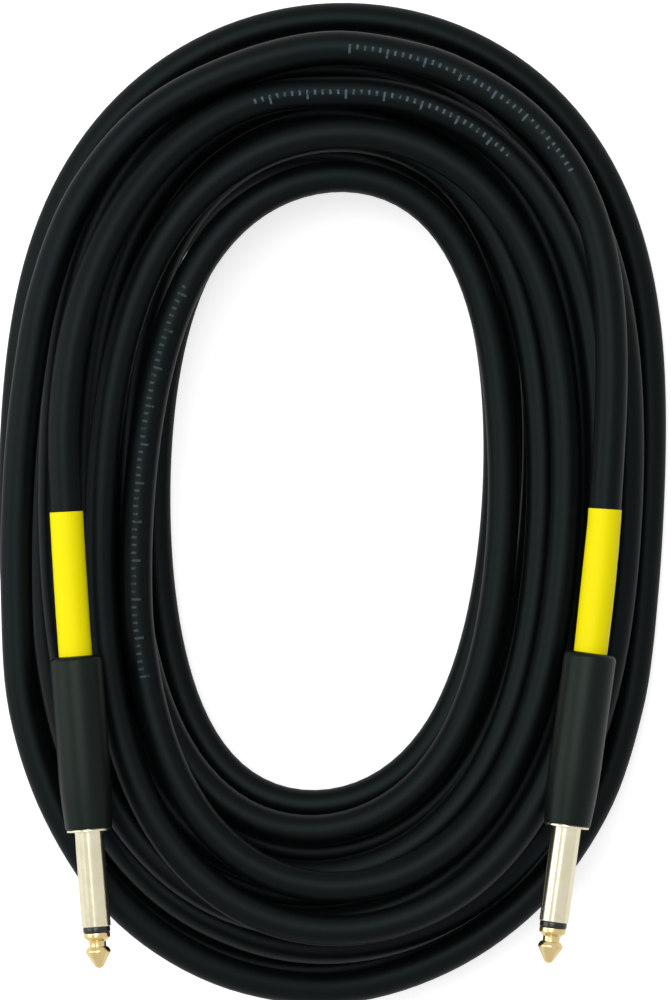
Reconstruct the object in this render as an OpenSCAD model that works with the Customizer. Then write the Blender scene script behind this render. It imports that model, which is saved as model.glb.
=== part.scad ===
// Instrument cable: a long round lead wound in an upright oval coil that lies flat,
// with a straight two-pole 6.35 mm plug on each end. Millimetres, +Z up, resting on z = 0.

/* [Cord] */
// Outside diameter of the jacketed cord
cord_d = 7; // [6:0.1:7.2]
// Outside diameter of the heat-shrink band behind each plug
band_d = 7.3; // [7.2:0.05:7.8]
// Length of the band that shows behind the barrel
band_length = 31.5; // [15:0.5:32.5]
// Length of the band that is tucked inside the barrel
band_tuck = 5; // [2:0.5:8]

/* [Coil] */
// Width of the coil over its outermost turn, cord centre to cord centre
coil_width = 141; // [139:0.2:144]
// Length of the coil over its outermost turn, cord centre to cord centre
coil_length = 216.4; // [213.6:0.2:219.6]
// How far the turns spread inward from the outermost one, at the coil's sides
spread_side = 31.5; // [31:0.1:33.5]
// How far the turns spread inward from the outermost one, at the coil's ends
spread_end = 37.3; // [36.5:0.1:39.5]
// Height from one layer of turns to the next
layer_step = 7.5; // [7.45:0.01:7.6]

/* [Plug finger] */
// Diameter of the plug's shaft
shaft_d = 6.35; // [6.2:0.05:6.4]
// Length of the shaft, from the barrel's mouth to the insulating ring
shaft_length = 21.4; // [18:0.1:24]
// Diameter of the insulating ring
ring_d = 5.9; // [5.7:0.1:6]
// Length of the insulating ring
ring_length = 1.25; // [0.8:0.05:2]
// Length of the pointed tip
tip_length = 8; // [7.4:0.1:9]
// Diameter of the tip's collar
collar_d = 5.8; // [5.6:0.1:6]
// Diameter of the tip's neck
neck_d = 3.7; // [3.4:0.1:4.6]
// Diameter of the tip's bulb
bulb_d = 5.6; // [5.4:0.1:6]

/* [Plug body] */
// Diameter of the rim at the barrel's mouth
rim_d = 9.8; // [9.4:0.1:10]
// Thickness of the rim
rim_thickness = 0.5; // [0.4:0.1:1.2]
// Diameter of the threaded body
thread_d = 8.8; // [8.6:0.05:9]
// Length of the threaded body inside the barrel
thread_length = 7; // [6:0.1:7.5]
// Diameter of the centre rod
rod_d = 2; // [1.8:0.1:2.2]
// Wall of the insulating tube around the centre rod
rod_tube_wall = 0.7; // [0.5:0.05:0.8]
// Radial clearance of the barrel on the threaded body
thread_clearance = 0.05; // [0.03:0.01:0.08]
// Radial clearance between assembled pieces inside the plug
seat_clearance = 0.03; // [0.02:0.01:0.05]

/* [Barrel] */
// Length of the barrel
barrel_length = 38; // [36:0.5:42]
// Diameter of the barrel
barrel_d = 11.5; // [11:0.1:11.7]
// Diameter of the barrel at its mouth
mouth_d = 10.2; // [9.8:0.1:10.6]
// Length over which the barrel narrows to its mouth
mouth_taper = 12; // [8:0.5:14]
// Radius of the barrel's rear shoulder
shoulder_r = 1.8; // [1:0.1:2]
// Thickness of the barrel's rear wall
rear_wall = 2.5; // [2:0.1:4]
// Radial clearance of the cord's band in the barrel's rear hole
exit_clearance = 0.25; // [0.15:0.01:0.3]
// Wall of the insulating liner
liner_wall = 0.25; // [0.2:0.01:0.3]
// Radial clearance between the liner and the barrel
liner_clearance = 0.1; // [0.05:0.01:0.12]

/* [Connections] */
// Distance from the threaded body's end to the end of the cord's jacket
strip_length = 11; // [10.5:0.5:13]
// Diameter of the stripped inner insulation
core_d = 2.4; // [2:0.1:2.4]
// Diameter of the bare conductor
wire_d = 1; // [0.8:0.05:1]
// Diameter of the twisted shield
shield_d = 1.6; // [1.2:0.1:1.6]
// Thickness of the solder lug and the ground strap
lug_thickness = 0.42; // [0.35:0.01:0.45]
// Length of the clamp that grips the jacket
clamp_length = 5; // [4:0.5:7]
// Thickness of the insulating washer
washer_thickness = 1.15; // [0.8:0.05:1.2]

/* [Hidden] */
$fn = 32;

// Rings and corners of the swept cord, and how deep it is cut flat where it rests
cord_r = cord_d / 2;
rings_per_turn = 24;
step_angle = 360 / rings_per_turn;
coil_sides = 6;
lead_sides = 8;
flat_cut = cord_d / 10;
base_z = cord_r - flat_cut;

// Measuring the coil's least gap: rings apart that count as another run, points per piece
runs_apart = 8;
samples = 4;

// The turns' outline: a slightly squared, skewed and egg-shaped oval whose centre drifts
// inward. The squareness is given across and along, on the outermost and innermost turn.
square_outer = [0.09, -0.05];
square_inner = [0.026, 0.02];
skew = 0.0185;
egg = 0.022;
drift = [-1.1, 1.2];

// Layers from the top down: first angle, last angle, first lane, last lane, offset.
// Angles run on along the cord, 0 at the left, 90 at the top, 180 at the right.
// A lane is 0 on the outermost turn and 1 on the innermost.
layers = [
    [90, 705, 0.37, 0.79, [2, -6]],
    [885, 1905, 0.99, 0.25, [-1.5, -0.5]],
    [2085, 3105, 0.25, 1, [-3, 0]],
    [3285, 3960, 1, 0, [-1, -2]]
];
// How far the cord swings sideways in each half turn where it drops a layer
swings = [0.07, -0.13, 0.06];
coil_end = 4155;
top_layer = len(layers) - 1;

// Each plug: middle of the barrel's mouth, its turn from straight down the coil, and the
// radius of the cord's bend behind its barrel
plug_z = 35;
plugs = [
    [[-53.9, -72.6, plug_z], 4.4, 1200],
    [[50.6, -71.65, plug_z], -7.8, 450]
];
LEFT = 0;
RIGHT = 1;

// Centre of the whole part's footprint in the coil's own coordinates
footprint = [-0.81, -0.97];

// The right end climbs round the coil before it crosses over to its plug. Lane and height
// at each step of the angle, from the bottom layer to the top
climb_start = 210;
climb = [
    [0.009, 4.5], [0.001, 7.2], [0.011, 10], [0.014, 13], [-0.005, 16.5], [-0.006, 20],
    [-0.011, 23], [-0.006, 25], [-0.019, 25.5], [0.007, 25.5], [0.024, 25.5], [0.055, 25.5],
    [0.083, 25.5], [0.118, 25.5], [0.176, 26], [0.25, 26.5], [0.261, 27.5], [0.272, 29.5]
];
crest_z = 34;

// Handles of the curves that carry the cord from coil to plug, at the plug and at the coil
left_handles = [49, 31];
right_handles = [39, 44];
lead_steps = 10;

// Stations along a plug's axis, measured from the barrel's mouth, positive to the tip
ring_start = shaft_length;
tip_start = ring_start + ring_length;
collar_length = 1.1;
neck_start = 1.95;
neck_length = 1.2;
neck_shoulder = 0.2;
bulb_at = 4.2;
point_r = 0.7;
tip_socket = 3;
body_end = -thread_length;
washer_end = body_end - washer_thickness;
lug_end = washer_end - lug_thickness;
rod_stub = 0.8;
cut_past = 1;
bend_reach = 1.1;
bend_facets = 720;
tube_facets = 32;
rod_end = lug_end - rod_stub;
jacket_end = body_end - strip_length;
tail_length = 6.5;
core_inset = 0.1;
wire_inset = 0.3;
liner_inset = 0.02;
tail_end = body_end - tail_length;
core_end = tail_end - core_inset;
wire_end = rod_end - wire_inset;
clamp_inset = 2;
clamp_start = jacket_end - clamp_inset;
clamp_end = clamp_start - clamp_length;
mouth_gap = 0.05;
liner_start = body_end - core_inset;
liner_end = rear_wall + liner_inset - barrel_length;
cord_past_band = 1.5;
bent_length = band_length + cord_past_band;

// Radii inside the plug
rod_r = rod_d / 2;
rod_tube_in = rod_r + seat_clearance;
rod_tube_out = rod_tube_in + rod_tube_wall;
body_bore = rod_tube_out + seat_clearance;
barrel_bore = thread_d / 2 + thread_clearance;
liner_out = barrel_bore - liner_clearance;
liner_in = liner_out - liner_wall;
exit_bore = band_d / 2 + exit_clearance;
clamp_in = cord_r + seat_clearance;
clamp_out = clamp_in + lug_thickness;
washer_r = 3.4;
lug_r = 2.5;
lug_width = 2.4;
strap_width = 3;
strap_overlap = 0.5;
clamp_opening = 60;
tail_y = 1.55;
core_y = tail_y - wire_d / 2;
strap_in = clamp_in;
shield_y = strap_in - shield_d / 2 - seat_clearance;
solder_length = 2.6;
solder_wall = 0.5;
solder_film = 0.01;
shield_end = jacket_end + strip_length / 2;

// Colours
jacket_colour = [0.07, 0.08, 0.08];
barrel_colour = [0.11, 0.12, 0.12];
band_colour = [1, 0.93, 0];
nickel_colour = [0.86, 0.83, 0.72];
gold_colour = [0.88, 0.72, 0.36];
ring_colour = [0.08, 0.08, 0.08];
brass_colour = [0.78, 0.63, 0.35];
natural_colour = [0.9, 0.9, 0.86];
copper_colour = [0.78, 0.45, 0.28];
solder_colour = [0.72, 0.73, 0.75];
tinned_colour = [0.74, 0.72, 0.66];
fibre_colour = [0.42, 0.2, 0.12];

// ---- The cord's route ----

function smooth(t) = t * t * (3 - 2 * t);
function mix(a, b, t) = a + (b - a) * t;

// A point of the turns' outline at one angle and lane, with the layer's offset
function lane_point(angle, lane, offset) =
    let (
        t = 180 - angle,
        half_w = coil_width / 2 - spread_side * lane,
        half_l = coil_length / 2 - spread_end * lane,
        square = mix(square_outer, square_inner, lane),
        lean = 1 + skew * sin(2 * t),
        x = half_w * (cos(t) - square[0] * cos(3 * t)) / (1 - square[0]),
        y = half_l * (sin(t) + square[1] * sin(3 * t)) / (1 - square[1]),
        broad = 1 + egg * y / half_l
    )
    [x * broad, y] * lean + drift * lane + offset;

// The layer that an angle belongs to, counting from the top
function layer_at(angle, i = 0) =
    i == top_layer || angle < layers[i + 1][0] ? i : layer_at(angle, i + 1);

function coil_point(angle) =
    let (
        i = layer_at(angle),
        now = layers[i],
        turned = (angle - now[0]) / (now[1] - now[0]),
        height = base_z + layer_step * (top_layer - i)
    )
    angle <= now[1] || i == top_layer
        ? concat(lane_point(angle, mix(now[2], now[3], min(1, turned)), now[4]), height)
        : drop_point(angle, now, layers[i + 1], swings[i], height);

// A point in the half turn where the cord drops to the layer below
function drop_point(angle, above, below, swing, height) =
    let (
        t = (angle - above[1]) / (below[0] - above[1]),
        lane = mix(above[3], below[2], t) + swing * sin(180 * t),
        offset = mix(above[4], below[4], smooth(t))
    )
    concat(lane_point(angle, lane, offset), height - layer_step * smooth(t));

function unit(v) = v / norm(v);

// A plug's pointing direction and its sideways direction, and a point of its axis
function dir_at(turn) = [sin(turn), -cos(turn), 0];
function side_at(turn) = [cos(turn), sin(turn), 0];
function plug_point(side, station) = plugs[side][0] + dir_at(plugs[side][1]) * station;

// The cord behind a barrel bends toward the coil's middle: which way, how far, and to where
function inward(side) = side == LEFT ? 1 : -1;
function bend_r(side) = plugs[side][2];
function bend_angle(side, length) = length / bend_r(side) * 180 / PI;
function bent_turn(side, length) = plugs[side][1] - inward(side) * bend_angle(side, length);
function bent_point(side, length) =
    plug_point(side, -barrel_length) + inward(side) * bend_r(side)
        * (side_at(plugs[side][1]) - side_at(bent_turn(side, length)));
function bent_dir(side) = -dir_at(bent_turn(side, bent_length));

// A smooth curve between two points, led by a handle point at each
function curve_point(a, b, c, d, t) =
    a * pow(1 - t, 3) + b * 3 * t * pow(1 - t, 2) + c * 3 * t * t * (1 - t) + d * pow(t, 3);
function curve(a, b, c, d) =
    [for (i = [0:lead_steps]) curve_point(a, b, c, d, i / lead_steps)];

// Which way a line of evenly spaced points leads past its end, from the last three, end first
function way_out(end, before, third) = unit(1.5 * (end - before) - 0.5 * (before - third));

coil_core = [for (a = [layers[0][0]:step_angle:coil_end]) coil_point(a)];
core_last = len(coil_core) - 1;
coil_back = way_out(coil_core[0], coil_core[1], coil_core[2]);
coil_ahead = way_out(coil_core[core_last], coil_core[core_last - 1], coil_core[core_last - 2]);

// The coil's first and last stretches run straight for one diameter
coil_route = concat(
    [coil_core[0], coil_core[0] - coil_back * cord_d],
    [for (i = [1:core_last - 1]) coil_core[i]],
    [coil_core[core_last] - coil_ahead * cord_d, coil_core[core_last]]
);
coil_last = len(coil_route) - 1;

// The left end goes straight from its plug to the coil's top turn
left_end = bent_point(LEFT, bent_length);
left_out = left_end + bent_dir(LEFT) * cord_d;
left_in = coil_route[0] + coil_back * cord_d;
left_lead = concat(
    [left_end],
    curve(left_out, left_out + bent_dir(LEFT) * left_handles[0],
        left_in + coil_back * left_handles[1], left_in),
    [coil_route[0]]
);

// The right end leaves the coil's bottom turn, climbs, and crosses over to its plug
climbed = [for (i = [0:len(climb) - 1])
    concat(lane_point(climb_start + step_angle * i, climb[i][0], [0, 0]), climb[i][1])];
climb_last = len(climb) - 1;
crest = climbed[climb_last] + right_handles[1]
    * way_out(climbed[climb_last], climbed[climb_last - 1], climbed[climb_last - 2]);
right_end = bent_point(RIGHT, bent_length);
right_out = right_end + bent_dir(RIGHT) * cord_d;
right_lead = concat(
    [coil_route[coil_last], coil_route[coil_last] + coil_ahead * cord_d],
    [for (i = [0:climb_last - 1]) climbed[i]],
    curve(climbed[climb_last], [crest[0], crest[1], crest_z],
        right_out + bent_dir(RIGHT) * right_handles[0], right_out),
    [right_end]
);

// ---- Sweeping a tube along a route ----

function heading(route, i) =
    let (last = len(route) - 1)
    i == 0 ? unit(route[1] - route[0])
        : i == last ? unit(route[last] - route[last - 1])
        : unit(unit(route[i + 1] - route[i]) + unit(route[i] - route[i - 1]));

// One ring of corners around a route point, kept above the resting plane
function ring_points(route, i, sides, turn) =
    let (
        ahead = heading(route, i),
        side = unit(cross(ahead, [0, 0, 1])),
        up = cross(side, ahead)
    )
    [for (k = [0:sides - 1])
        let (
            a = turn + 360 * k / sides,
            p = route[i] + cord_r * (cos(a) * side + sin(a) * up)
        )
        [p[0], p[1], max(0, p[2])]];

function tube_faces(rings, sides) = concat(
    [[for (k = [0:sides - 1]) k]],
    [for (i = [0:rings - 2]) for (k = [0:sides - 1]) for (half = [0, 1])
        let (
            a = i * sides + k,
            b = i * sides + (k + 1) % sides
        )
        half == 0 ? [a, a + sides, b] : [b, a + sides, b + sides]],
    [[for (k = [0:sides - 1]) (rings - 1) * sides + sides - 1 - k]]
);

module cord_tube(route, sides, turn) {
    rings = len(route);
    points = [for (i = [0:rings - 1]) each ring_points(route, i, sides, turn)];
    translate(-footprint_3d())
        polyhedron(points = points, faces = tube_faces(rings, sides), convexity = 10);
}

function footprint_3d() = [footprint[0], footprint[1], 0];

// ---- The coil's least gap to itself, measured between points of its runs ----

function run_gap(p, a, b) =
    let (
        along = b - a,
        t = max(0, min(1, (p - a) * along / (along * along)))
    )
    norm(a + along * t - p) - cord_d;

function least_coil_gap() = min([
    for (i = [0:coil_last - 1]) for (s = [0:samples - 1])
        let (p = mix(coil_route[i], coil_route[i + 1], s / samples))
        for (j = [i + runs_apart:1:coil_last - 1])
            run_gap(p, coil_route[j], coil_route[j + 1])
]);

function route_length(route) =
    len(route) < 2 ? 0 : sum_lengths([for (i = [1:len(route) - 1]) norm(route[i] - route[i - 1])]);
function sum_lengths(parts, i = 0, total = 0) =
    i == len(parts) ? total : sum_lengths(parts, i + 1, total + parts[i]);

// ---- Placing things on a plug's axis ----

module on_plug(side) {
    translate(plugs[side][0] - footprint_3d())
        rotate([0, 0, plugs[side][1]])
            rotate([90, 0, 0])
                children();
}

// A round bar from one station to another
module bar(from, to, r) {
    translate([0, 0, min(from, to)])
        cylinder(h = abs(to - from), r = r);
}

// A round tube, or a solid one where r_in is 0, that goes on behind the barrel along the
// cord's bend: a slice of a large ring
module bent_tube(side, length, r_out, r_in) {
    reach = bend_reach * bend_r(side);
    angle = bend_angle(side, length);
    translate([inward(side) * bend_r(side), 0, -barrel_length])
        rotate([90, 0, 0])
            intersection() {
                rotate_extrude($fn = bend_facets)
                    translate([bend_r(side), 0])
                        difference() {
                            circle(r_out, $fn = tube_facets);
                            if (r_in > 0)
                                circle(r_in, $fn = tube_facets);
                        }
                translate([0, 0, -cord_d])
                    linear_extrude(2 * cord_d)
                        polygon([
                            [0, 0],
                            [-inward(side) * reach, 0],
                            [-inward(side) * reach * cos(angle), -reach * sin(angle)]
                        ]);
            }
}

module tube(from, to, r_out, r_in) {
    difference() {
        bar(from, to, r_out);
        bar(from - sign(to - from), to + sign(to - from), r_in);
    }
}

// ---- The cord ----

module cable_coil() {
    echo(least_gap_mm = least_coil_gap());
    echo(coil_length_mm = route_length(coil_route));
    color(jacket_colour)
        cord_tube(coil_route, coil_sides, 0);
}

module free_cord(route) {
    echo(free_length_mm = route_length(route));
    color(jacket_colour)
        cord_tube(route, lead_sides, 180 / lead_sides);
}

module cord_end(side) {
    color(jacket_colour)
        on_plug(side) {
            bar(jacket_end, -barrel_length, cord_r);
            bent_tube(side, bent_length, cord_r, 0);
        }
}

module yellow_band(side) {
    color(band_colour)
        on_plug(side) {
            difference() {
                bar(band_tuck - barrel_length, -barrel_length, band_d / 2);
                bar(band_tuck + cut_past - barrel_length, -cut_past - barrel_length,
                    cord_r + seat_clearance);
            }
            bent_tube(side, band_length, band_d / 2, cord_r + seat_clearance);
        }
}

// ---- The plug's finger ----

module tip_contact(side) {
    color(gold_colour)
        on_plug(side)
            translate([0, 0, tip_start])
                difference() {
                    rotate_extrude()
                        tip_profile();
                    translate([0, 0, -cut_past])
                        cylinder(h = tip_socket + cut_past, r = rod_r + seat_clearance);
                }
}

// Half of the tip's outline: collar, neck, bulb and blunt point
module tip_profile() {
    polygon([
        [0, 0],
        [collar_d / 2, 0],
        [collar_d / 2, collar_length],
        [neck_d / 2, neck_start],
        [neck_d / 2, neck_start + neck_length],
        [(neck_d + bulb_d) / 4, neck_start + neck_length + neck_shoulder],
        [bulb_d / 2, bulb_at],
        [point_r, tip_length - point_r / 2],
        [point_r / 2, tip_length],
        [0, tip_length]
    ]);
}

module tip_insulator(side) {
    color(ring_colour)
        on_plug(side)
            tube(ring_start, tip_start, ring_d / 2, rod_r + seat_clearance);
}

module sleeve_contact(side) {
    color(nickel_colour)
        on_plug(side)
            difference() {
                union() {
                    bar(0, ring_start, shaft_d / 2);
                    bar(0, rim_thickness, rim_d / 2);
                    bar(0, body_end, thread_d / 2);
                }
                bar(body_end - cut_past, ring_start + cut_past, body_bore);
            }
}

module tip_rod(side) {
    color(brass_colour)
        on_plug(side)
            bar(rod_end, tip_start + tip_socket, rod_r);
}

module rod_insulator(side) {
    color(natural_colour)
        on_plug(side)
            tube(body_end, ring_start, rod_tube_out, rod_tube_in);
}

// ---- The plug's connections ----

module rear_washer(side) {
    color(fibre_colour)
        on_plug(side)
            tube(body_end, washer_end, washer_r, rod_r + seat_clearance);
}

// Ring on the rod with a flat tail that the conductor is soldered to
module tip_lug(side) {
    color(tinned_colour)
        on_plug(side)
            difference() {
                union() {
                    bar(washer_end, lug_end, lug_r);
                    translate([-lug_width / 2, tail_y, tail_end])
                        cube([lug_width, lug_thickness, washer_end - tail_end]);
                }
                bar(washer_end + cut_past, lug_end - cut_past, rod_r + seat_clearance);
            }
}

// Curved strap from the threaded body to an open clamp around the jacket
module ground_clamp(side) {
    color(tinned_colour)
        on_plug(side) {
            intersection() {
                tube(body_end, clamp_start - strap_overlap, clamp_out, clamp_in);
                translate([-strap_width / 2, -2 * clamp_out, clamp_start - clamp_length])
                    cube([strap_width, 2 * clamp_out, body_end - clamp_start + 2 * clamp_length]);
            }
            difference() {
                tube(clamp_start, clamp_end, clamp_out, clamp_in);
                translate([0, 0, clamp_end - cut_past])
                    linear_extrude(clamp_length + 2 * cut_past)
                        polygon([
                            [0, 0],
                            [2 * cord_d * sin(clamp_opening / 2), 2 * cord_d * cos(clamp_opening / 2)],
                            [-2 * cord_d * sin(clamp_opening / 2), 2 * cord_d * cos(clamp_opening / 2)]
                        ]);
            }
        }
}

module core_insulation(side) {
    color(natural_colour)
        on_plug(side)
            translate([0, core_y, 0])
                bar(jacket_end, core_end, core_d / 2);
}

module core_wire(side) {
    color(copper_colour)
        on_plug(side)
            translate([0, core_y, 0])
                bar(core_end, wire_end, wire_d / 2);
}

module shield_pigtail(side) {
    color(copper_colour)
        on_plug(side)
            translate([0, -shield_y, 0])
                bar(jacket_end, shield_end, shield_d / 2);
}

// Solder around the conductor where it lies on the lug's tail
module tip_solder(side) {
    color(solder_colour)
        on_plug(side)
            translate([0, core_y, tail_end + solder_film])
                difference() {
                    cylinder(h = solder_length, r = wire_d / 2 + solder_wall);
                    translate([0, 0, -cut_past])
                        cylinder(h = solder_length + 2 * cut_past, r = wire_d / 2 + solder_film);
                    translate([-lug_width, tail_y - core_y - solder_film, -cut_past])
                        cube([2 * lug_width, lug_width, solder_length + 2 * cut_past]);
                }
}

// Solder around the end of the twisted shield where it lies in the strap's hollow side
module ground_solder(side) {
    color(solder_colour)
        on_plug(side)
            intersection() {
                bar(jacket_end, body_end, strap_in - solder_film);
                translate([0, -shield_y, shield_end - solder_length])
                    difference() {
                        cylinder(h = solder_length, r = shield_d / 2 + solder_wall);
                        translate([0, 0, -cut_past])
                            cylinder(h = solder_length + 2 * cut_past, r = shield_d / 2 + solder_film);
                    }
            }
}

// ---- The screw-on barrel ----

// Half of the barrel's outline from mouth to rear: gentle taper, straight, round shoulder
module barrel_profile() {
    mouth_r = mouth_d / 2;
    outer_r = barrel_d / 2;
    taper_steps = 6;
    corner_steps = 6;
    polygon(concat(
        [[0, -mouth_gap]],
        [for (i = [0:taper_steps])
            let (t = i / taper_steps)
            [mix(mouth_r, outer_r, sin(90 * t)), -mouth_gap - mouth_taper * t]],
        [for (i = [0:corner_steps])
            let (a = 90 * i / corner_steps)
            [outer_r - shoulder_r + shoulder_r * cos(a),
                -barrel_length + shoulder_r - shoulder_r * sin(a)]],
        [[0, -barrel_length]]
    ));
}

module barrel_shell(side) {
    color(barrel_colour)
        on_plug(side)
            difference() {
                rotate_extrude()
                    barrel_profile();
                bar(cut_past, rear_wall - barrel_length, barrel_bore);
                bar(0, -barrel_length - cut_past, exit_bore);
            }
}

module barrel_liner(side) {
    color(natural_colour)
        on_plug(side)
            tube(liner_start, liner_end, liner_out, liner_in);
}

cable_coil();
free_cord(left_lead);  // left_free_cord
free_cord(right_lead);  // right_free_cord

cord_end(LEFT);  // left_cord_end
yellow_band(LEFT);  // left_yellow_band
barrel_shell(LEFT);  // left_barrel_shell
barrel_liner(LEFT);  // left_barrel_liner
sleeve_contact(LEFT);  // left_sleeve_contact
tip_insulator(LEFT);  // left_tip_insulator
tip_contact(LEFT);  // left_tip_contact
tip_rod(LEFT);  // left_tip_rod
rod_insulator(LEFT);  // left_rod_insulator
rear_washer(LEFT);  // left_rear_washer
tip_lug(LEFT);  // left_tip_lug
ground_clamp(LEFT);  // left_ground_clamp
core_insulation(LEFT);  // left_core_insulation
core_wire(LEFT);  // left_core_wire
shield_pigtail(LEFT);  // left_shield_pigtail
tip_solder(LEFT);  // left_tip_solder
ground_solder(LEFT);  // left_ground_solder

cord_end(RIGHT);  // right_cord_end
yellow_band(RIGHT);  // right_yellow_band
barrel_shell(RIGHT);  // right_barrel_shell
barrel_liner(RIGHT);  // right_barrel_liner
sleeve_contact(RIGHT);  // right_sleeve_contact
tip_insulator(RIGHT);  // right_tip_insulator
tip_contact(RIGHT);  // right_tip_contact
tip_rod(RIGHT);  // right_tip_rod
rod_insulator(RIGHT);  // right_rod_insulator
rear_washer(RIGHT);  // right_rear_washer
tip_lug(RIGHT);  // right_tip_lug
ground_clamp(RIGHT);  // right_ground_clamp
core_insulation(RIGHT);  // right_core_insulation
core_wire(RIGHT);  // right_core_wire
shield_pigtail(RIGHT);  // right_shield_pigtail
tip_solder(RIGHT);  // right_tip_solder
ground_solder(RIGHT);  // right_ground_solder
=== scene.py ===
import math

import bmesh
import bpy
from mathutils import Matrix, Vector


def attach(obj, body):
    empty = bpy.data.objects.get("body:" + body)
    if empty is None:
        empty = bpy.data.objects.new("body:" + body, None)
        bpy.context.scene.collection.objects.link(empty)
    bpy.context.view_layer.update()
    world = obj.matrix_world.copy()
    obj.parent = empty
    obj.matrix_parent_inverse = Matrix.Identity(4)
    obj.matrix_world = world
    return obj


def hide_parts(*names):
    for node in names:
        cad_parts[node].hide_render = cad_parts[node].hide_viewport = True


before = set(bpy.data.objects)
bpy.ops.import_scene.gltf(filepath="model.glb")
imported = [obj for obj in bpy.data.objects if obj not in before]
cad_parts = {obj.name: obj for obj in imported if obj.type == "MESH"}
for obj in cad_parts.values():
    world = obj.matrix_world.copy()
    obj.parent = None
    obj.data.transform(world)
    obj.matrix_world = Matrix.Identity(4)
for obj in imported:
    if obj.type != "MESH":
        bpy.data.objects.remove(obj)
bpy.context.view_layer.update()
scene = bpy.context.scene
scene.view_settings.view_transform = "Standard"
mm = 0.001

# Sizes are in millimetres and degrees, seen from above with the plugs pointing down.
footprint = Vector((-0.81, -0.97, 0))  # centre of the resting area in the coil's own coordinates

camera = {
    "distance": 2000,  # from the middle height of the coil
    "middleHeight": 22,
    "spanTall": 220,  # what the tall side of the frame shows at that height
    "aim": (0, -0.7),
    "sensor": 36,
    "clipEnd": 50,  # metres
}

cord = {
    "diameter": 7,
    "sides": 28,
    "ringSpacing": 3.4,
    "coilStep": 5,  # between the coil's own points
    "pointsPerKnot": 10,
    # the CAD nodes that the one tube stands for
    "stretches": ["cable_coil", "left_free_cord", "right_free_cord", "left_cord_end", "right_cord_end"],
}

coil = {
    "width": 141,
    "length": 216.4,
    "spreadSide": 31.5,  # from the outer lane, 0, to the inner one, 1
    "spreadEnd": 37.3,
    "layerStep": 7.5,
    "bottom": 2.8,  # centre height of the lowest layer
    "squareOuter": (0.09, -0.05),  # how square the outer lane is, across and along
    "squareInner": (0.026, 0.02),
    "skew": 0.0185,
    "egg": 0.022,  # how much broader the far end is
    "drift": (-1.1, 1.2),  # of the inner lane
    # first angle, last angle, first lane, last lane and offset, from the top layer down
    "layers": [
        (90, 705, 0.37, 0.79, (2, -6)),
        (885, 1905, 0.99, 0.25, (-1.5, -0.5)),
        (2085, 3105, 0.25, 1, (-3, 0)),
        (3285, 3960, 1, 0, (-1, -2)),
    ],
    "swings": (0.07, -0.13, 0.06),  # of the lane, on each drop to the next layer
    "endAngle": 4155,
}

# Stations run along a plug's axis: 0 at the barrel's mouth, above it towards the tip, below it towards
# the cord.
plugs = {
    # middle of the barrel's mouth, turn from straight down, the cord's bend radius and its side
    "left": {"mouth": (-53.9, -72.6, 35), "turn": 4.4, "bend": 1200, "inward": 1},
    "right": {"mouth": (50.6, -71.65, 35), "turn": -7.8, "bend": 450, "inward": -1},
}

leads = {
    "jacketEnd": -18,  # station of the jacket's cut end inside the plug
    "bendStart": -38,
    "bendEnd": -71,
    "steps": 24,  # on each stretch between plug and coil
    "leftHandles": (49, 31),  # at the plug, at the coil
    "rightHandles": (39, 44),
    "crest": 34,  # height of the right lead's handle where it leaves the climb
    "climbStart": 210,
    "climbStep": 15,
    # lane and height at each step of the climb
    "climb": [
        (0.009, 4.5), (0.001, 7.2), (0.011, 10), (0.014, 13), (-0.005, 16.5), (-0.006, 20),
        (-0.011, 23), (-0.006, 25), (-0.019, 25.5), (0.007, 25.5), (0.024, 25.5), (0.055, 25.5),
        (0.083, 25.5), (0.118, 25.5), (0.176, 26), (0.25, 26.5), (0.261, 27.5), (0.272, 29.5),
    ],
}


def makeCamera():
    data = bpy.data.cameras.new("camera")
    data.sensor_width = camera["sensor"]
    data.lens = camera["sensor"] * camera["distance"] / camera["spanTall"]
    data.clip_end = camera["clipEnd"]
    eye = bpy.data.objects.new("camera", data)
    x, y = camera["aim"]
    eye.location = (Vector((x, y, camera["middleHeight"] + camera["distance"])) - footprint) * mm
    scene.collection.objects.link(eye)
    scene.camera = eye


def mix(a, b, t):
    return a + (b - a) * t


def smooth(t):
    return t * t * (3 - 2 * t)


def lanePoint(angle, lane, offset, height):
    # a point of one oval turn
    t = math.radians(180 - angle)
    halfWide = coil["width"] / 2 - coil["spreadSide"] * lane
    halfLong = coil["length"] / 2 - coil["spreadEnd"] * lane
    across, along = [mix(a, b, lane) for a, b in zip(coil["squareOuter"], coil["squareInner"])]
    lean = 1 + coil["skew"] * math.sin(2 * t)
    x = halfWide * (math.cos(t) - across * math.cos(3 * t)) / (1 - across)
    y = halfLong * (math.sin(t) + along * math.sin(3 * t)) / (1 - along)
    broad = 1 + coil["egg"] * y / halfLong
    return Vector((
        x * broad * lean + coil["drift"][0] * lane + offset[0],
        y * lean + coil["drift"][1] * lane + offset[1],
        height,
    ))


def coilPoint(angle):
    # a point of the coil, which winds in or out on each layer and then drops to the next
    layers = coil["layers"]
    last = len(layers) - 1
    i = max(k for k in range(last + 1) if k == 0 or angle >= layers[k][0])
    first, end, laneIn, laneOut, offset = layers[i]
    height = coil["bottom"] + coil["layerStep"] * (last - i)
    if angle <= end or i == last:
        turned = min(1, (angle - first) / (end - first))
        return lanePoint(angle, mix(laneIn, laneOut, turned), offset, height)
    nextFirst, _, nextLane, _, nextOffset = layers[i + 1]
    t = (angle - end) / (nextFirst - end)
    lane = mix(laneOut, nextLane, t) + coil["swings"][i] * math.sin(math.pi * t)
    between = [mix(a, b, smooth(t)) for a, b in zip(offset, nextOffset)]
    return lanePoint(angle, lane, between, height - coil["layerStep"] * smooth(t))


def headings(turn):
    # the directions ahead and across, turned from straight down
    return Vector((math.sin(turn), -math.cos(turn), 0)), Vector((math.cos(turn), math.sin(turn), 0))


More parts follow.
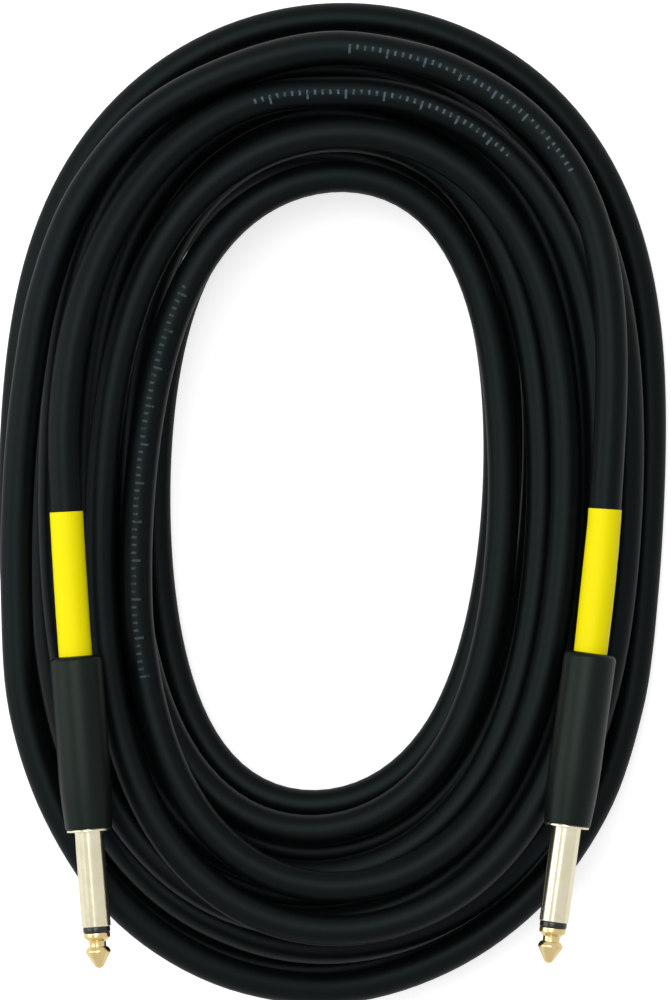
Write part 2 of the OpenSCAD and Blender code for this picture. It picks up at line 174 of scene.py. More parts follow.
def plugFrame(side, station):
    # a point of the plug's axis with the directions across and ahead, bent behind the barrel
    plug = plugs[side]
    bent = max(0, leads["bendStart"] - station)
    turn = math.radians(plug["turn"])
    ahead, across = headings(turn)
    point = Vector(plug["mouth"]) + ahead * max(station, leads["bendStart"])
    if bent > 0:
        ahead, bentAcross = headings(turn - plug["inward"] * bent / plug["bend"])
        point += (across - bentAcross) * plug["inward"] * plug["bend"]
        across = bentAcross
    return point, across, ahead


def handledCurve(a, b, c, d):
    # from a to d, drawn towards the handles b and c
    steps = leads["steps"]
    return [a * (1 - t) ** 3 + b * 3 * t * (1 - t) ** 2 + c * 3 * t * t * (1 - t) + d * t ** 3
            for t in (k / steps for k in range(steps + 1))]


def weighed(a, b, first, last, at):
    # a at the first place, b at the last, and beyond them in line
    return a * ((last - at) / (last - first)) + b * ((at - first) / (last - first))


def curveThrough(knots):
    # a smooth curve through every knot (centripetal Catmull-Rom)
    ends = [knots[0] * 2 - knots[1], *knots, knots[-1] * 2 - knots[-2]]
    points = []
    for i in range(1, len(ends) - 2):
        p = ends[i - 1:i + 3]
        t = [0]
        for a, b in zip(p, p[1:]):
            t.append(t[-1] + math.sqrt((b - a).length))
        for step in range(cord["pointsPerKnot"]):
            at = mix(t[1], t[2], step / cord["pointsPerKnot"])
            a = [weighed(p[k], p[k + 1], t[k], t[k + 1], at) for k in range(3)]
            b = [weighed(a[k], a[k + 1], t[k], t[k + 2], at) for k in range(2)]
            points.append(weighed(b[0], b[1], t[1], t[2], at))
    points.append(knots[-1])
    return points


def evenly(points, spacing):
    # the line's points again, evenly spaced, and its length
    run = [0]
    for a, b in zip(points, points[1:]):
        run.append(run[-1] + (b - a).length)
    count = max(2, round(run[-1] / spacing))
    out, k = [], 0
    for i in range(count + 1):
        at = run[-1] * i / count
        while k < len(run) - 2 and run[k + 1] < at:
            k += 1
        out.append(points[k].lerp(points[k + 1], (at - run[k]) / (run[k + 1] - run[k])))
    return out, run[-1]


def plugEnd(side):
    # the cord from the jacket's cut end to where it leaves the band, and its way on
    first, last = leads["jacketEnd"], leads["bendEnd"]
    steps = leads["steps"]
    points = [plugFrame(side, first + (last - first) * k / steps)[0] for k in range(steps + 1)]
    return points, -plugFrame(side, last)[2]


def wayOut(end, before, third):
    # which way a line leads past its end, from its last three points, on a parabola through them
    return (1.5 * (end - before) - 0.5 * (before - third)).normalized()


def cordRoute():
    # left plug, coil, climb, right plug: the points of the cord's centre line and its length
    reach = cord["diameter"]
    step = leads["climbStep"]
    angles = list(range(coil["layers"][0][0], coil["endAngle"] + 1, cord["coilStep"]))
    turns = [coilPoint(a) for a in angles]

    plugSide, away = plugEnd("left")
    atPlug, atCoil = leads["leftHandles"]
    out = plugSide[-1] + away * reach
    back = wayOut(turns[0], coilPoint(angles[0] + step), coilPoint(angles[0] + 2 * step))
    into = turns[0] + back * reach
    knots = plugSide + handledCurve(out, out + away * atPlug, into + back * atCoil, into)
    knots += turns
    onward = wayOut(turns[-1], coilPoint(angles[-1] - step), coilPoint(angles[-1] - 2 * step))
    knots.append(turns[-1] + onward * reach)

    climb = [lanePoint(leads["climbStart"] + step * k, lane, (0, 0), height)
             for k, (lane, height) in enumerate(leads["climb"])]
    plugSide, away = plugEnd("right")
    atPlug, atCoil = leads["rightHandles"]
    out = plugSide[-1] + away * reach
    crest = climb[-1] + wayOut(climb[-1], climb[-2], climb[-3]) * atCoil
    crest.z = leads["crest"]
    knots += climb[:-1] + handledCurve(climb[-1], crest, out + away * atPlug, out)
    knots += reversed(plugSide)
    points, length = evenly(curveThrough(knots), cord["ringSpacing"])
    return [(p - footprint) * mm for p in points], length * mm


def addNode(tree, kind, inputs=None, **settings):
    node = tree.nodes.new(kind)
    for name, value in settings.items():
        setattr(node, name, value)
    for name, value in (inputs or {}).items():
        if isinstance(value, bpy.types.NodeSocket):
            tree.links.new(value, node.inputs[name])
        else:
            node.inputs[name].default_value = value
    return node


def reckoned(tree, operation, *values):
    # the result of one Math node
    return addNode(tree, "ShaderNodeMath", dict(enumerate(values)), operation=operation).outputs[0]


def geometryTree(name, sizes):
    tree = bpy.data.node_groups.new(name, "GeometryNodeTree")
    tree.interface.new_socket("Geometry", in_out="INPUT", socket_type="NodeSocketGeometry")
    for label, kind in sizes.items():
        tree.interface.new_socket(label, in_out="INPUT", socket_type="NodeSocket" + kind)
    tree.interface.new_socket("Geometry", in_out="OUTPUT", socket_type="NodeSocketGeometry")
    return tree, tree.nodes.new("NodeGroupInput").outputs


def endTree(tree, geometry, material):
    real = addNode(tree, "GeometryNodeRealizeInstances", {"Geometry": geometry})
    dressed = addNode(tree, "GeometryNodeSetMaterial", {
        "Geometry": real.outputs[0], "Material": material})
    addNode(tree, "NodeGroupOutput", {0: dressed.outputs[0]})


def growPiece(name, tree, start, values):
    # runs the tree on a start mesh and keeps the result as a plain mesh
    piece = bpy.data.objects.new(name, start)
    scene.collection.objects.link(piece)
    modifier = piece.modifiers.new("grow", "NODES")
    modifier.node_group = tree
    for item in tree.interface.items_tree:
        if item.in_out == "INPUT" and item.name in values:
            modifier[item.identifier] = values[item.name]
    bpy.context.view_layer.update()
    result = piece.evaluated_get(bpy.context.evaluated_depsgraph_get())
    grown = bpy.data.meshes.new_from_object(result)
    piece.modifiers.clear()
    piece.data = grown
    grown.name = name
    return piece


def lineMesh(name, points):
    mesh = bpy.data.meshes.new(name)
    steps = [(i, i + 1) for i in range(len(points) - 1)]
    mesh.from_pydata([tuple(p) for p in points], steps, [])
    return mesh


def sweepTree():
    # a round tube along a line, kept above the resting plane; its materials read "ownPlace", which
    # holds where round the section a point lies, in X and Y, and how far along the line, in Z
    tree, given = geometryTree("sweptCord", {
        "Radius": "Float", "Sides": "Int", "Material": "Material"})
    line = addNode(tree, "GeometryNodeMeshToCurve", {"Mesh": given["Geometry"]})
    upright = addNode(tree, "GeometryNodeSetCurveNormal", {"Curve": line.outputs[0]}, mode="Z_UP")
    along = addNode(tree, "GeometryNodeSplineParameter")
    keptAlong = addNode(tree, "GeometryNodeCaptureAttribute")
    keptAlong.capture_items.new("FLOAT", "Along")
    tree.links.new(upright.outputs[0], keptAlong.inputs["Geometry"])
    tree.links.new(along.outputs["Length"], keptAlong.inputs["Along"])
    ring = addNode(tree, "GeometryNodeCurvePrimitiveCircle", {
        "Resolution": given["Sides"], "Radius": given["Radius"]})
    keptRing = addNode(tree, "GeometryNodeCaptureAttribute")
    keptRing.capture_items.new("VECTOR", "Ring")
    tree.links.new(ring.outputs[0], keptRing.inputs["Geometry"])
    position = addNode(tree, "GeometryNodeInputPosition").outputs[0]
    tree.links.new(position, keptRing.inputs["Ring"])
    tube = addNode(tree, "GeometryNodeCurveToMesh", {
        "Curve": keptAlong.outputs["Geometry"], "Profile Curve": keptRing.outputs["Geometry"],
        "Fill Caps": True})
    ringParts = addNode(tree, "ShaderNodeSeparateXYZ", {0: keptRing.outputs["Ring"]})
    place = addNode(tree, "ShaderNodeCombineXYZ", {
        "X": ringParts.outputs["X"], "Y": ringParts.outputs["Y"], "Z": keptAlong.outputs["Along"]})
    stored = addNode(tree, "GeometryNodeStoreNamedAttribute", {
        "Geometry": tube.outputs[0], "Name": "ownPlace", "Value": place.outputs[0]},
        data_type="FLOAT_VECTOR", domain="POINT")
    here = addNode(tree, "ShaderNodeSeparateXYZ", {0: position})
    lifted = reckoned(tree, "MAXIMUM", here.outputs["Z"], 0.0)
    kept = addNode(tree, "ShaderNodeCombineXYZ", {
        "X": here.outputs["X"], "Y": here.outputs["Y"], "Z": lifted})
    flat = addNode(tree, "GeometryNodeSetPosition", {
        "Geometry": stored.outputs[0], "Position": kept.outputs[0]})
    soft = addNode(tree, "GeometryNodeSetShadeSmooth", {"Geometry": flat.outputs[0]})
    endTree(tree, soft.outputs[0], given["Material"])
    return tree


def placeOf(tree, kind):
    # "ownPlace" is stored on swept and turned pieces, "object" serves the others
    if kind == "object":
        return addNode(tree, "ShaderNodeTexCoord").outputs["Object"]
    return addNode(tree, "ShaderNodeAttribute", attribute_name=kind).outputs["Vector"]


def shaderGroup(name, given, made):
    tree = bpy.data.node_groups.new(name, "ShaderNodeTree")
    for label, kind in given.items():
        tree.interface.new_socket(label, in_out="INPUT", socket_type="NodeSocket" + kind)
    for label, kind in made.items():
        tree.interface.new_socket(label, in_out="OUTPUT", socket_type="NodeSocket" + kind)
    return tree, tree.nodes.new("NodeGroupInput").outputs


def drawnOut(tree, place, scale):
    # a place on which a pattern is stretched where the scale is small
    return addNode(tree, "ShaderNodeMapping", {"Vector": place, "Scale": scale}).outputs[0]


def noise(tree, place, scale, look):
    values = {"Vector": place, "Scale": scale, **look}
    return addNode(tree, "ShaderNodeTexNoise", values).outputs[0]


# what a finish takes from its group
surface = {"Shade": "Float", "Roughness": "Float", "Height": "Float"}

skin = {
    "mottle": {"Detail": 3.0, "Roughness": 0.55},
    "mottleStretch": (1, 1, 0.12),
    "drag": {"Detail": 2.0, "Roughness": 0.5},
    "dragStretch": (1, 1, 0.02),
    "grain": {"Detail": 2.0, "Roughness": 0.6},
    "middle": 0.5,  # of the mottling, where the roughness is as given
}


def mouldedGroup():
    # satin moulded or extruded plastic: slow mottling, fine grain, and the long drag lines of a die
    tree, given = shaderGroup("mouldedSkin", {
        "Place": "Vector", "Mottle Scale": "Float", "Grain Scale": "Float", "Drag": "Float",
        "Roughness": "Float", "Spread": "Float"}, surface)
    place, fine = given["Place"], given["Grain Scale"]
    streaks = drawnOut(tree, place, skin["mottleStretch"])
    slow = noise(tree, streaks, given["Mottle Scale"], skin["mottle"])
    dragged = noise(tree, drawnOut(tree, place, skin["dragStretch"]), fine, skin["drag"])
    grain = noise(tree, place, fine, skin["grain"])
    swing = reckoned(tree, "SUBTRACT", slow, skin["middle"])
    spread = reckoned(tree, "MULTIPLY", swing, given["Spread"])
    rough = reckoned(tree, "ADD", spread, given["Roughness"])
    lines = reckoned(tree, "MULTIPLY", dragged, given["Drag"])
    height = reckoned(tree, "ADD", grain, lines)
    addNode(tree, "NodeGroupOutput", {"Shade": slow, "Roughness": rough, "Height": height})
    return tree


lathe = {
    "rings": {"Detail": 3.0, "Roughness": 0.6},
    "ringStretch": (0.03, 0.03, 1),
    "haze": {"Detail": 4.0, "Roughness": 0.6},
    "hazeScale": 260.0,
}


def turnedGroup():
    # turned and plated metal: faint rings round the axis and a little handling haze
    tree, given = shaderGroup("turnedMetal", {
        "Place": "Vector", "Ring Scale": "Float", "Roughness": "Float", "Haze": "Float"}, surface)
    place = given["Place"]
    level = drawnOut(tree, place, lathe["ringStretch"])
    rings = noise(tree, level, given["Ring Scale"], lathe["rings"])
    haze = noise(tree, place, lathe["hazeScale"], lathe["haze"])
    cloudy = reckoned(tree, "MULTIPLY", haze, given["Haze"])
    rough = reckoned(tree, "ADD", cloudy, given["Roughness"])
    addNode(tree, "NodeGroupOutput", {"Shade": haze, "Roughness": rough, "Height": rings})
    return tree


marks = {
    # plain ticks printed on the jacket, as on cord that is sold by length
    "radius": cord["diameter"] / 2,
    "spacing": 1.7,
    "stroke": 0.5,
    "short": 1.1,
    "long": 2.1,
    "every": 5,
    "ink": (0.075, 0.105, 0.13),
    "wear": {"Detail": 3.0},
    "wearScale": 900.0,
    "bare": 0.34,  # the wear at which no ink is left
    "whole": 0.5,  # and at which all of it is
    # first and last length along the cord, how far round from the top, and how much ink is left
    "stretches": [(158, 218, 0.15, 1.0), (935, 1023, 0.0, 0.55), (5703, 5762, 0.15, 0.9)],
}


def tickGroup():
    # a mask of evenly spaced ticks on one stretch of the cord, each fifth one taller, a little worn
    m = marks
    tree, given = shaderGroup("printedTicks", {
        "Place": "Vector", "First": "Float", "Last": "Float", "Around": "Float"}, {"Mask": "Float"})

    def step(operation, *values):
        return reckoned(tree, operation, *values)

    own = addNode(tree, "ShaderNodeSeparateXYZ", {0: given["Place"]})
    along = step("DIVIDE", own.outputs["Z"], mm)
    turned = step("ARCTAN2", own.outputs["X"], step("MULTIPLY", own.outputs["Y"], -1.0))
    across = step("MULTIPLY", step("SUBTRACT", turned, given["Around"]), m["radius"])
    count = step("DIVIDE", along, m["spacing"])
    stroke = step("LESS_THAN", step("FRACT", count), m["stroke"] / m["spacing"])
    since = step("MODULO", step("FLOOR", count), float(m["every"]))  # ticks since the last tall one
    tall = step("LESS_THAN", since, 0.5)
    height = step("ADD", step("MULTIPLY", tall, m["long"] - m["short"]), m["short"])
    above = step("GREATER_THAN", across, -m["long"] / 2)
    below = step("LESS_THAN", step("ADD", across, m["long"] / 2), height)
    begun = step("GREATER_THAN", along, given["First"])
    unended = step("LESS_THAN", along, given["Last"])
    wear = noise(tree, given["Place"], m["wearScale"], m["wear"])
    kept = addNode(tree, "ShaderNodeMapRange", {
        "Value": wear, "From Min": m["bare"], "From Max": m["whole"]})
    mask = kept.outputs[0]
    for part in (stroke, above, below, begun, unended):
        mask = step("MULTIPLY", mask, part)
    addNode(tree, "NodeGroupOutput", {"Mask": mask})
    return tree


def printed(tree, colour, place):
    # the ticks of every stretch laid over a colour
    ticks = tickGroup()
    ink = (*marks["ink"], 1)
    for first, last, around, left in marks["stretches"]:
        stretch = addNode(tree, "ShaderNodeGroup", node_tree=ticks)
        tree.links.new(place, stretch.inputs["Place"])
        for label, value in (("First", first), ("Last", last), ("Around", around)):
            stretch.inputs[label].default_value = value
        inked = reckoned(tree, "MULTIPLY", stretch.outputs[0], left)
        mixed = addNode(tree, "ShaderNodeMix", {0: inked, 6: colour, 7: ink}, data_type="RGBA")
        colour = mixed.outputs[2]
    return colour


moulded, turned = mouldedGroup(), turnedGroup()
satin = {"Mottle Scale": 60.0, "Grain Scale": 2600.0, "Drag": 1.2, "Roughness": 0.46, "Spread": 0.12}
rubbed = {"Mottle Scale": 70.0, "Grain Scale": 3400.0, "Drag": 0.0, "Roughness": 0.42, "Spread": 0.04}
chalky = {"Mottle Scale": 90.0, "Grain Scale": 1800.0, "Drag": 0.3, "Roughness": 0.55, "Spread": 0.1}
polished = {"Ring Scale": 9000.0, "Roughness": 0.16, "Haze": 0.08}
dulled = {"Ring Scale": 4000.0, "Roughness": 0.26, "Haze": 0.2}
metal = {"Metallic": 1.0}
shadeEnds = (0.3, 0.7)  # of the group's shade, where the dark and the light colour are pure

# colours from dark to light, the group's values, how strong and how deep in mm the relief is, and
# what is set on the shader itself
looks = {
    "jacket": {
        "name": "satinJacket", "group": moulded, "place": "ownPlace", "over": printed,
        "colours": [(0.001, 0.0016, 0.0017), (0.0019, 0.0028, 0.0029)],
        "values": satin, "relief": (0.08, 0.05),
        "shader": {"Specular IOR Level": 0.125, "Specular Tint": (0.74, 0.95, 1.0, 1)}},
    "barrel": {
        "name": "satinBarrel", "group": moulded, "place": "ownPlace",
        "colours": [(0.0016, 0.0028, 0.0022), (0.0026, 0.0042, 0.0033)],
        "values": rubbed, "relief": (0.03, 0.03),
        "shader": {"Specular IOR Level": 0.21, "Specular Tint": (0.78, 1.0, 0.88, 1)}},
    "band": {
        "name": "yellowShrink", "group": moulded, "place": "ownPlace",
        "colours": [(0.96, 0.83, 0.0), (1.0, 0.88, 0.0)],
        "values": {**satin, "Roughness": 0.5}, "relief": (0.15, 0.05),
        "shader": {"Specular IOR Level": 0.12}},
    "ring": {
        "name": "glossRing", "group": moulded, "place": "ownPlace",
        "colours": [(0.008, 0.008, 0.008), (0.014, 0.014, 0.014)],
        "values": {**rubbed, "Roughness": 0.2}, "relief": (0.05, 0.02),
        "shader": {"Specular IOR Level": 0.5}},
    "nickel": {
        "name": "warmNickel", "group": turned, "place": "ownPlace",
        "colours": [(0.83, 0.77, 0.55), (0.91, 0.85, 0.64)],
        "values": polished, "relief": (0.03, 0.02), "shader": metal},
    "gold": {
        "name": "paleGold", "group": turned, "place": "ownPlace",
        "colours": [(0.78, 0.6, 0.27), (0.87, 0.7, 0.37)],
        "values": polished, "relief": (0.03, 0.02), "shader": metal},
    "brass": {
        "name": "brightBrass", "group": turned, "place": "object",
        "colours": [(0.72, 0.53, 0.25), (0.82, 0.64, 0.34)],
        "values": dulled, "relief": (0.1, 0.02), "shader": metal},
    "tinned": {
        "name": "tinnedStrip", "group": turned, "place": "object",
        "colours": [(0.62, 0.6, 0.54), (0.74, 0.72, 0.66)],
        "values": dulled, "relief": (0.1, 0.02), "shader": metal},
    "copper": {
        "name": "bareCopper", "group": turned, "place": "object",
        "colours": [(0.7, 0.36, 0.2), (0.83, 0.47, 0.28)],
        "values": dulled, "relief": (0.1, 0.02), "shader": metal},
    "solder": {
        "name": "brightSolder", "group": turned, "place": "object",
        "colours": [(0.58, 0.59, 0.6), (0.72, 0.73, 0.74)],
        "values": {**dulled, "Roughness": 0.16}, "relief": (0.2, 0.05), "shader": metal},
    "liner": {
        "name": "milkyLiner", "group": moulded, "place": "object",
        "colours": [(0.72, 0.71, 0.65), (0.82, 0.81, 0.76)],
        "values": chalky, "relief": (0.1, 0.03), "shader": {}},
    "natural": {
        "name": "naturalPlastic", "group": moulded, "place": "object",
        "colours": [(0.78, 0.76, 0.69), (0.87, 0.86, 0.8)],
        "values": chalky, "relief": (0.1, 0.03), "shader": {}},
    "fibre": {
        "name": "pressedFibre", "group": moulded, "place": "object",
        "colours": [(0.2, 0.075, 0.035), (0.34, 0.14, 0.07)],
        "values": chalky, "relief": (0.3, 0.05), "shader": {}},
}


def finish(look):
    # one Principled material whose colour, roughness and bump come from the look's group
    material = bpy.data.materials.new(look["name"])
    material.use_nodes = True
    tree = material.node_tree
    tree.nodes.clear()
    effect = addNode(tree, "ShaderNodeGroup", node_tree=look["group"])
    own = placeOf(tree, look["place"])
    tree.links.new(own, effect.inputs["Place"])
    for label, value in look["values"].items():
        effect.inputs[label].default_value = value
    ramp = addNode(tree, "ShaderNodeValToRGB", {0: effect.outputs["Shade"]})
    for end, position, colour in zip(ramp.color_ramp.elements, shadeEnds, look["colours"]):
        end.position, end.color = position, (*colour, 1)
    shown = ramp.outputs[0]
    if "over" in look:
        shown = look["over"](tree, shown, own)
    strength, depth = look["relief"]
    relief = addNode(tree, "ShaderNodeBump", {
        "Height": effect.outputs["Height"], "Strength": strength, "Distance": depth * mm})
    shader = addNode(tree, "ShaderNodeBsdfPrincipled", {
        "Base Color": shown, "Roughness": effect.outputs["Roughness"], "Normal": relief.outputs[0],
        **look["shader"]})
    addNode(tree, "ShaderNodeOutputMaterial", {"Surface": shader.outputs[0]})
    return material


finishes = {slot: finish(look) for slot, look in looks.items()}
print("finishes:", len(finishes))


def dress(piece, slot, replaced, body):
    # gives a piece its material, the CAD nodes that it stands for and the body that it rides on
    piece.data.materials.clear()
    piece.data.materials.append(finishes[slot])
    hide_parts(*replaced)
    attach(piece, body)
    return piece


turning = {
    "sides": 96,
    "arcSteps": 5,  # of a fillet
    "mostOfEdge": 0.49,  # the share of an edge that one fillet may take
    "sharpAngle": 32,  # past which an edge isn't shaded smooth
}


def rounded(corners, steps=turning["arcSteps"]):
    # a closed outline of (station, radius, fillet) with each corner turned into an arc
    out = []
    for i, (station, radius, fillet) in enumerate(corners):
        here = Vector((station, radius))
        if not fillet:
            out.append(tuple(here))
            continue
        before = Vector(corners[i - 1][:2]) - here
        after = Vector(corners[(i + 1) % len(corners)][:2]) - here
        half = before.angle(after) / 2
        most = turning["mostOfEdge"]
        reach = min(fillet / math.tan(half), most * before.length, most * after.length)
        before.normalize()
        after.normalize()
        middle = here + (before + after).normalized() * (reach / math.cos(half))
        a, b = here + before * reach - middle, here + after * reach - middle
        start = math.atan2(a.y, a.x)
        sweep = (math.atan2(b.y, b.x) - start + math.pi) % (2 * math.pi) - math.pi
        for k in range(steps + 1):
            angle = start + sweep * k / steps
            out.append((middle.x + a.length * math.cos(angle), middle.y + a.length * math.sin(angle)))
    return out


def turnedPiece(name, side, outline, sides=turning["sides"], relief=None):
    # a closed outline of (station, radius) turned round a plug's axis, with "ownPlace" as on the cord
    up = Vector((0, 0, 1))
    mesh = bmesh.new()
    place = mesh.verts.layers.float_vector.new("ownPlace")
    rings = []
    for station, radius in outline:
        ring = []
        centre, across, _ = plugFrame(side, station)
        for k in range(sides if radius > 0 else 1):
            angle = 2 * math.pi * k / sides
            r = relief(station, radius, angle) if relief else radius
            point = centre - footprint + (across * math.cos(angle) + up * math.sin(angle)) * r
            corner = mesh.verts.new(point * mm)
            corner[place] = Vector((r * math.cos(angle), r * math.sin(angle), station)) * mm
            ring.append(corner)
        rings.append(ring)
    for a, b in zip(rings, rings[1:] + rings[:1]):
        if len(a) == 1 and len(b) == 1:
            continue
        for k in range(sides):
            corners = [a[k % len(a)], a[(k + 1) % len(a)], b[(k + 1) % len(b)], b[k % len(b)]]
            mesh.faces.new(list(dict.fromkeys(corners)))
    bmesh.ops.recalc_face_normals(mesh, faces=mesh.faces)
    data = bpy.data.meshes.new(name)
    mesh.to_mesh(data)
    mesh.free()
    data.shade_smooth()
    data.set_sharp_from_angle(angle=math.radians(turning["sharpAngle"]))
    piece = bpy.data.objects.new(name, data)
    scene.collection.objects.link(piece)
    return piece


barrel = {
    "length": 38,
    "radius": 5.75,
    "mouthRadius": 5.1,
    "mouthGap": 0.05,
    "mouthEdge": 0.25,
    "taper": 12,
    "taperSteps": 14,
    "shoulder": 1.9,
    "dome": 0.4,
    "bore": 4.45,
    "boreEdge": 0.12,
    "hole": 3.9,
    "holeLip": 0.35,
    "holeEdge": 0.1,
    "rearWall": 2.5,
}


def makeBarrel(side):
    b = barrel
    mouth, rear = -b["mouthGap"], -b["length"]
    corners = [(mouth, b["bore"], b["boreEdge"]), (mouth, b["mouthRadius"], b["mouthEdge"])]
    for k in range(1, b["taperSteps"] + 1):
        t = k / b["taperSteps"]
        swell = mix(b["mouthRadius"], b["radius"], math.sin(math.pi / 2 * t))
        corners.append((mouth - b["taper"] * t, swell, 0))
    corners += [
        (rear + b["dome"], b["radius"], b["shoulder"]), (rear, b["hole"], b["holeLip"]),
        (rear + b["rearWall"], b["hole"], b["holeEdge"]), (rear + b["rearWall"], b["bore"], 0),
    ]
    piece = turnedPiece(side + "Barrel", side, rounded(corners))
    return dress(piece, "barrel", [side + "_barrel_shell"], side + "_barrel")


sleeve = {
    "rimRadius": 4.9,
    "rimThickness": 0.5,
    "shaftRadius": 3.175,
    "shaftLength": 21.4,
    "bore": 1.76,
    "edge": 0.2,  # fillet of the shaft's end and of the rim's front
    "corner": 0.15,  # fillet of the rim's root and of its back
    "threadRadius": 4.4,
    "threadLength": 7,
    "threadStart": -0.6,
    "threadDepth": 0.32,
    "pitch": 1,
    "flank": 3,  # how steep the groove's sides are
    "crest": 0.2,  # how much of the thread's peak is cut off, in depths of the groove
    "fade": 0.4,  # the length in which the groove runs out at each end
    "rings": 66,
    "tolerance": 1e-6,
}


def threadRelief(station, radius, angle):
    # cuts the screw's groove into the threaded body and leaves the rest as it is
    s = sleeve
    onThread = math.isclose(radius, s["threadRadius"], rel_tol=s["tolerance"])
    if not onThread or not -s["threadLength"] < station < s["threadStart"]:
        return radius
    turnShare = (station / s["pitch"] + angle / (2 * math.pi)) % 1
    depth = min(1, s["flank"] * min(turnShare, 1 - turnShare) - s["crest"])
    ends = (s["threadStart"] - station, station + s["threadLength"])
    fade = min(1, ends[0] / s["fade"], ends[1] / s["fade"])
    return radius - s["threadDepth"] * max(0, depth) * fade


def makeSleeve(side):
    s = sleeve
    outline = rounded([
        (s["shaftLength"], s["bore"], 0),
        (s["shaftLength"], s["shaftRadius"], s["edge"]),
        (s["rimThickness"], s["shaftRadius"], s["corner"]),
        (s["rimThickness"], s["rimRadius"], s["edge"]),
        (0, s["rimRadius"], s["corner"]),
        (0, s["threadRadius"], 0),
    ])
    step = s["threadLength"] / s["rings"]
    outline += [(-step * k, s["threadRadius"]) for k in range(1, s["rings"] + 1)]
    outline.append((-s["threadLength"], s["bore"]))
    piece = turnedPiece(side + "Sleeve", side, outline, relief=threadRelief)
    return dress(piece, "nickel", [side + "_sleeve_contact"], "cable")


tipRing = {"start": sleeve["shaftLength"], "length": 1.25, "radius": 2.98, "bore": 1.03, "edge": 0.2}


def makeTipRing(side):
    r = tipRing
    a, b = r["start"], r["start"] + r["length"]
    piece = turnedPiece(side + "TipRing", side, rounded([
        (a, r["bore"], 0), (a, r["radius"], r["edge"]), (b, r["radius"], r["edge"]), (b, r["bore"], 0)]))
    return dress(piece, "ring", [side + "_tip_insulator"], "cable")


tip = {
    "start": tipRing["start"] + tipRing["length"],
    "socket": 1.03,
    "socketDepth": 3,
    "arcSteps": 7,
    # distance from the ring, radius, fillet
    "outline": [
        (0, 2.9, 0.3), (1.15, 2.88, 0.4), (1.95, 1.88, 0.4), (3.12, 1.84, 0.1), (3.3, 2.3, 0.12),
        (4.2, 2.84, 0.7), (7.6, 0.85, 0.7), (8.0, 0.0, 0),
    ],
}


def makeTip(side):
    t = tip
    deep = t["start"] + t["socketDepth"]
    corners = [(deep, 0, 0), (deep, t["socket"], 0), (t["start"], t["socket"], 0)]
    corners += [(t["start"] + along, radius, fillet) for along, radius, fillet in t["outline"]]
    piece = turnedPiece(side + "Tip", side, rounded(corners, t["arcSteps"]))
    return dress(piece, "gold", [side + "_tip_contact"], "cable")


band = {
    "from": -33,
    "to": -69.5,
    "radius": 3.66,
    "bore": 3.53,
    "edge": 0.12,
    "rings": 90,
    "sides": 64,
    "even": 0.1,  # what lies this near the bore stays even
    "ripple": 0.035,
    "slowWave": 0.9,  # radians in a millimetre
    "fastWave": 2.3,
    "fastShare": 0.6,  # how strong the fast wave is beside the slow one
}


def bandRelief(station, radius, angle):
    # the shrunk sleeve is never quite even outside; both waves close on themselves round the axis
    b = band
    if radius < b["bore"] + b["even"]:
        return radius
    slow = math.sin(station * b["slowWave"] + 2 * math.sin(angle))
    fast = b["fastShare"] * math.sin(station * b["fastWave"] + 3 * angle)
    most = 1 + b["fastShare"]
    return radius - b["ripple"] * (most - slow - fast) / (2 * most)


def makeBand(side):
    b = band
    step = (b["to"] - b["from"]) / b["rings"]
    corners = [(b["from"], b["bore"], 0), (b["from"], b["radius"], b["edge"])]
    corners += [(b["from"] + step * k, b["radius"], 0) for k in range(1, b["rings"])]
    corners += [(b["to"], b["radius"], b["edge"]), (b["to"], b["bore"], 0)]
    piece = turnedPiece(side + "Band", side, rounded(corners), sides=b["sides"], relief=bandRelief)
    return dress(piece, "band", [side + "_yellow_band"], "cable")


plain = {  # CAD nodes that keep their own shape, and their slots
    "barrel_liner": "liner", "tip_rod": "brass", "rod_insulator": "natural", "rear_washer": "fibre",
    "tip_lug": "tinned", "ground_clamp": "tinned", "core_insulation": "natural", "core_wire": "copper",
    "shield_pigtail": "copper", "tip_solder": "solder", "ground_solder": "solder",
}


def dressPlain(side):
    for name, slot in plain.items():
        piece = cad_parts[side + "_" + name]
        for socket in piece.material_slots:
            socket.material = finishes[slot]


studio = {
    # places and sizes in metres
    "floorSize": 40,
    "floorHeight": -0.0001,
    "floorColour": 0.8,
    "floorLift": 0.64,  # light added where the camera sees the floor, and where gloss mirrors it
    "floorMirrored": 0.25,
    "ambient": 0.4,  # the sky as light, as gloss mirrors it, and as the camera sees it
    "mirrored": 0.75,
    "background": 1.0,
    # name, position, size, watts, colour
    "lamps": [
        ("softboxAbove", (-0.3, 0.35, 1.5), (1.1, 1.1), 12.5, (1.0, 1.0, 0.98)),
        ("softboxSide", (-1.3, 0.1, 0.6), (0.8, 1.0), 5.5, (1.0, 1.0, 0.98)),
    ],
    "lampsAim": (0, 0, 0.02),
}
white = (1, 1, 1, 1)


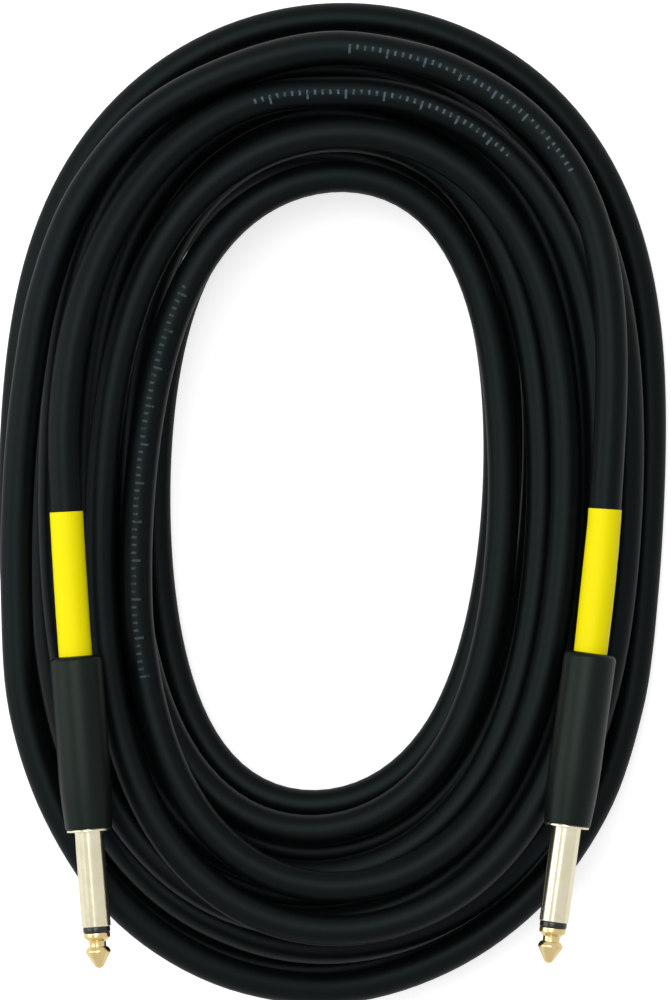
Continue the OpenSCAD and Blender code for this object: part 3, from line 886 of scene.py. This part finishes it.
def makeFloor():
    half, low = studio["floorSize"] / 2, studio["floorHeight"]
    corners = [(-half, -half, low), (half, -half, low), (half, half, low), (-half, half, low)]
    data = bpy.data.meshes.new("floor")
    data.from_pydata(corners, [], [(0, 1, 2, 3)])
    floor = bpy.data.objects.new("floor", data)
    scene.collection.objects.link(floor)
    paper = bpy.data.materials.new("paper")
    paper.use_nodes = True
    tree = paper.node_tree
    tree.nodes.clear()
    level = studio["floorColour"]
    matt = addNode(tree, "ShaderNodeBsdfDiffuse", {"Color": (level, level, level, 1)})
    rays = addNode(tree, "ShaderNodeLightPath").outputs
    seen = reckoned(tree, "MULTIPLY", rays["Is Camera Ray"], studio["floorLift"])
    lift = reckoned(tree, "MULTIPLY_ADD", rays["Is Glossy Ray"], studio["floorMirrored"], seen)
    glow = addNode(tree, "ShaderNodeEmission", {"Color": white, "Strength": lift})
    shown = addNode(tree, "ShaderNodeAddShader", {0: matt.outputs[0], 1: glow.outputs[0]})
    # seen from below, the paper isn't there
    below = addNode(tree, "ShaderNodeNewGeometry").outputs["Backfacing"]
    clear = addNode(tree, "ShaderNodeBsdfTransparent")
    sided = addNode(tree, "ShaderNodeMixShader", {0: below, 1: shown.outputs[0], 2: clear.outputs[0]})
    addNode(tree, "ShaderNodeOutputMaterial", {"Surface": sided.outputs[0]})
    data.materials.append(paper)


def makeSky():
    # a white sky that is weaker as a light than it looks
    world = bpy.data.worlds.new("studio")
    scene.world = world
    world.use_nodes = True
    tree = world.node_tree
    tree.nodes.clear()
    rays = addNode(tree, "ShaderNodeLightPath").outputs
    soft, dim, full = [
        addNode(tree, "ShaderNodeBackground", {"Color": white, "Strength": studio[level]}).outputs[0]
        for level in ("ambient", "mirrored", "background")]
    mirrored = addNode(tree, "ShaderNodeMixShader", {0: rays["Is Glossy Ray"], 1: soft, 2: dim})
    shown = addNode(tree, "ShaderNodeMixShader", {
        0: rays["Is Camera Ray"], 1: mirrored.outputs[0], 2: full})
    addNode(tree, "ShaderNodeOutputWorld", {"Surface": shown.outputs[0]})


def makeLamps():
    for name, place, size, watts, colour in studio["lamps"]:
        lamp = bpy.data.lights.new(name, "AREA")
        lamp.shape, lamp.size, lamp.size_y = "RECTANGLE", *size
        lamp.energy, lamp.color = watts, colour
        box = bpy.data.objects.new(name, lamp)
        box.location = place
        box.rotation_mode = "QUATERNION"
        aim = Vector(studio["lampsAim"]) - Vector(place)
        box.rotation_quaternion = aim.to_track_quat("-Z", "Y")
        box.visible_camera = False
        scene.collection.objects.link(box)


makeCamera()
route, routeLength = cordRoute()
print("camera and cord route:", round(routeLength, 3), "m")

tube = growPiece("cordTube", sweepTree(), lineMesh("cordLine", route), {
    "Radius": cord["diameter"] / 2 * mm,
    "Sides": cord["sides"],
    "Material": finishes["jacket"],
})
dress(tube, "jacket", cord["stretches"], "cable")
print("cord:", len(tube.data.polygons), "faces")

onCord = []
for side in plugs:
    onCord += [makeBand(side), makeBarrel(side), makeSleeve(side), makeTipRing(side), makeTip(side)]
    dressPlain(side)
print("plugs:", len(onCord), "turned pieces")

cordLeaves = plugFrame("left", -barrel["length"])[0]

makeFloor()
makeSky()
makeLamps()
print("studio:", len(studio["lamps"]), "lamps")
